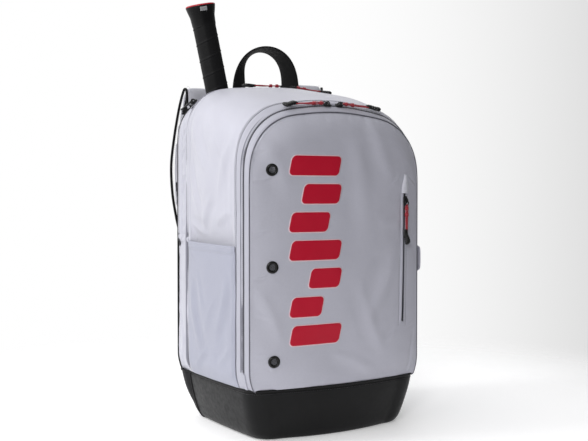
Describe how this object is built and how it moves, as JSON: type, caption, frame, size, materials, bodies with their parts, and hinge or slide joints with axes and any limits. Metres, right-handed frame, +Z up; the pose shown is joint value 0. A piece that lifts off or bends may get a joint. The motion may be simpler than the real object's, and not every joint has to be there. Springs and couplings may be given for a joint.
{
  "type": "racket backpack",
  "caption": "Racket backpack with a moulded base boot, clamshell main compartment, drop-front pocket, rear racket compartment, padded straps, cord-pull zips and one racket.",
  "frame": {"origin": "centre of the footprint on the ground, below the middle of the base boot", "axes": "+Z up, front panel faces -Y, back panel and straps on +Y, +X to the right as seen from the front"},
  "size_m": [0.34, 0.3136, 0.6985],
  "materials": {
    "silver_fabric": "satin coated polyester",
    "pocket_fabric": "satin coated polyester",
    "boot": "smooth PU-coated boot",
    "black_mesh": "3-D spacer mesh",
    "black_webbing": "woven webbing",
    "lining": "plain lining cloth",
    "zip_tape": "woven zip tape with coil",
    "zip_black": "black painted zip slider",
    "cord_red": "braided red cord with black grip",
    "grip_black": "moulded grip",
    "plastic_black": "moulded acetal",
    "stiffener": "polyethylene sheet",
    "eyelet": "black eyelet",
    "racket_carbon": "lacquered carbon",
    "string": "nylon string",
    "overgrip": "black wrapped grip",
    "butt": "butt cap with red end"
  },
  "bodies": {
    "shell": {"base_boot": "boot", "base_rear_fabric": "black_mesh", "base_board": "stiffener", "racket_floor_pad": "lining", "back_panel": "black_mesh", "back_pads": "black_mesh", "lumbar_pad": "black_mesh", "frame_sheet": "stiffener", "laptop_sleeve": "lining", "main_zip_half_rear": "zip_tape", "rear_gusset_left": "silver_fabric", "rear_gusset_right": "silver_fabric", "rear_top_band": "silver_fabric", "racket_zip": "zip_tape", "strap_yoke": "black_mesh", "strap_tabs": "black_webbing"},
    "front_half": {"side_panel_left": "silver_fabric", "side_panel_right": "silver_fabric", "top_panel": "silver_fabric", "side_pocket_left": "pocket_fabric", "side_pocket_right": "pocket_fabric", "main_zip_half_front": "zip_tape", "front_gusset": "silver_fabric", "front_zip_half_rear": "zip_tape", "pocket_wall": "lining"},
    "front_door": {"front_panel": "silver_fabric", "front_band": "silver_fabric", "front_zip_half_front": "zip_tape", "front_piping": "pocket_fabric", "vent_eyelets": "eyelet", "eyelet_mesh": "black_mesh", "stash_zip": "zip_tape", "zip_garage": "silver_fabric", "stash_pocket_bag": "lining"},
    "front_slider_left": {"front_slider_left": "zip_black"},
    "front_pull_left": {"front_pull_left": "cord_red"},
    "front_slider_right": {"front_slider_right": "zip_black"},
    "front_pull_right": {"front_pull_right": "cord_red"},
    "main_slider_left": {"main_slider_left": "zip_black"},
    "main_pull_left": {"main_pull_left": "cord_red"},
    "main_slider_right": {"main_slider_right": "zip_black"},
    "main_pull_right": {"main_pull_right": "cord_red"},
    "stash_slider": {"stash_slider": "zip_black"},
    "stash_pull": {"stash_pull_cord": "cord_red", "stash_pull_grip": "grip_black"},
    "racket_zip_slider": {"racket_zip_slider": "zip_black"},
    "racket_zip_pull": {"racket_zip_pull": "zip_black"},
    "haul_loop": {"haul_loop": "black_webbing"},
    "strap_left": {"strap_pad_left": "silver_fabric", "strap_webbing_left": "black_webbing", "ladder_lock_left": "plastic_black"},
    "strap_right": {"strap_pad_right": "silver_fabric", "strap_webbing_right": "black_webbing", "ladder_lock_right": "plastic_black"},
    "racket": {"racket_frame": "racket_carbon", "racket_strings": "string", "racket_grip": "overgrip", "butt_cap": "butt"}
  },
  "joints": [
    {"name": "main_compartment_opens", "type": "hinge", "parent": "shell", "child": "front_half", "pos_m": [0, -0.131, 0.08], "axis": [1, 0, 0], "range_deg": [0, 18]},
    {"name": "front_pocket_opens", "type": "hinge", "parent": "front_half", "child": "front_door", "pos_m": [0, -0.131, 0.08], "axis": [1, 0, 0], "range_deg": [0, 70]},
    {"name": "front_slider_left_runs", "type": "hinge", "parent": "front_half", "child": "front_slider_left", "pos_m": [0, -0.097, 0.164], "axis": [0, -1, 0], "range_deg": [0, 6]},
    {"name": "front_pull_left_swings", "type": "hinge", "parent": "front_slider_left", "child": "front_pull_left", "pos_m": [-0.013, -0.09986, 0.51837], "axis": [0, 0.848, 0.5299], "range_deg": [0, 95]},
    {"name": "front_slider_right_runs", "type": "hinge", "parent": "front_half", "child": "front_slider_right", "pos_m": [0, -0.097, 0.164], "axis": [0, 1, 0], "range_deg": [0, 6]},
    {"name": "front_pull_right_swings", "type": "hinge", "parent": "front_slider_right", "child": "front_pull_right", "pos_m": [0.011, -0.09986, 0.51844], "axis": [0, -0.848, -0.5299], "range_deg": [0, 95]},
    {"name": "main_slider_left_runs", "type": "hinge", "parent": "shell", "child": "main_slider_left", "pos_m": [0, 0.082, -0.3455], "axis": [0, -1, 0], "range_deg": [0, 5.5]},
    {"name": "main_pull_left_swings", "type": "hinge", "parent": "main_slider_left", "child": "main_pull_left", "pos_m": [0.013, 0.082, 0.56229], "axis": [0, 1, 0], "range_deg": [0, 95]},
    {"name": "main_slider_right_runs", "type": "hinge", "parent": "shell", "child": "main_slider_right", "pos_m": [0, 0.082, -0.3455], "axis": [0, 1, 0], "range_deg": [0, 4]},
    {"name": "main_pull_right_swings", "type": "hinge", "parent": "main_slider_right", "child": "main_pull_right", "pos_m": [0.033, 0.082, 0.56183], "axis": [0, -1, 0], "range_deg": [0, 95]},
    {"name": "stash_slider_runs", "type": "slide", "parent": "front_door", "child": "stash_slider", "axis": [0, 0, -1], "range_m": [0, 0.185]},
    {"name": "stash_pull_swings", "type": "hinge", "parent": "stash_slider", "child": "stash_pull", "pos_m": [0.12225, -0.12735, 0.365], "axis": [-0.9781, -0.2079, 0], "range_deg": [0, 120]},
    {"name": "racket_zip_slider_runs", "type": "hinge", "parent": "shell", "child": "racket_zip_slider", "pos_m": [-0.08502, 0.131, 0.47002], "axis": [0, 1, 0], "range_deg": [-30, 24]},
    {"name": "racket_zip_pull_swings", "type": "hinge", "parent": "racket_zip_slider", "child": "racket_zip_pull", "pos_m": [-0.13625, 0.131, 0.53396], "axis": [0, 1, 0], "range_deg": [0, 90]},
    {"name": "haul_loop_folds", "type": "hinge", "parent": "shell", "child": "haul_loop", "pos_m": [0, 0.1342, 0.5535], "axis": [-1, 0, 0], "range_deg": [-50, 25], "stiffness_Nm_per_rad": 0.05},
    {"name": "strap_left_swings", "type": "hinge", "parent": "shell", "child": "strap_left", "pos_m": [-0.106, 0.15, 0.53], "axis": [1, 0, 0], "range_deg": [0, 12]},
    {"name": "strap_right_swings", "type": "hinge", "parent": "shell", "child": "strap_right", "pos_m": [0.106, 0.15, 0.53], "axis": [1, 0, 0], "range_deg": [0, 12]},
    {"name": "racket_lifts_out", "type": "slide", "parent": "shell", "child": "racket", "axis": [0.0797, 0, 0.9968], "range_m": [0, 0.56]}
  ]
}
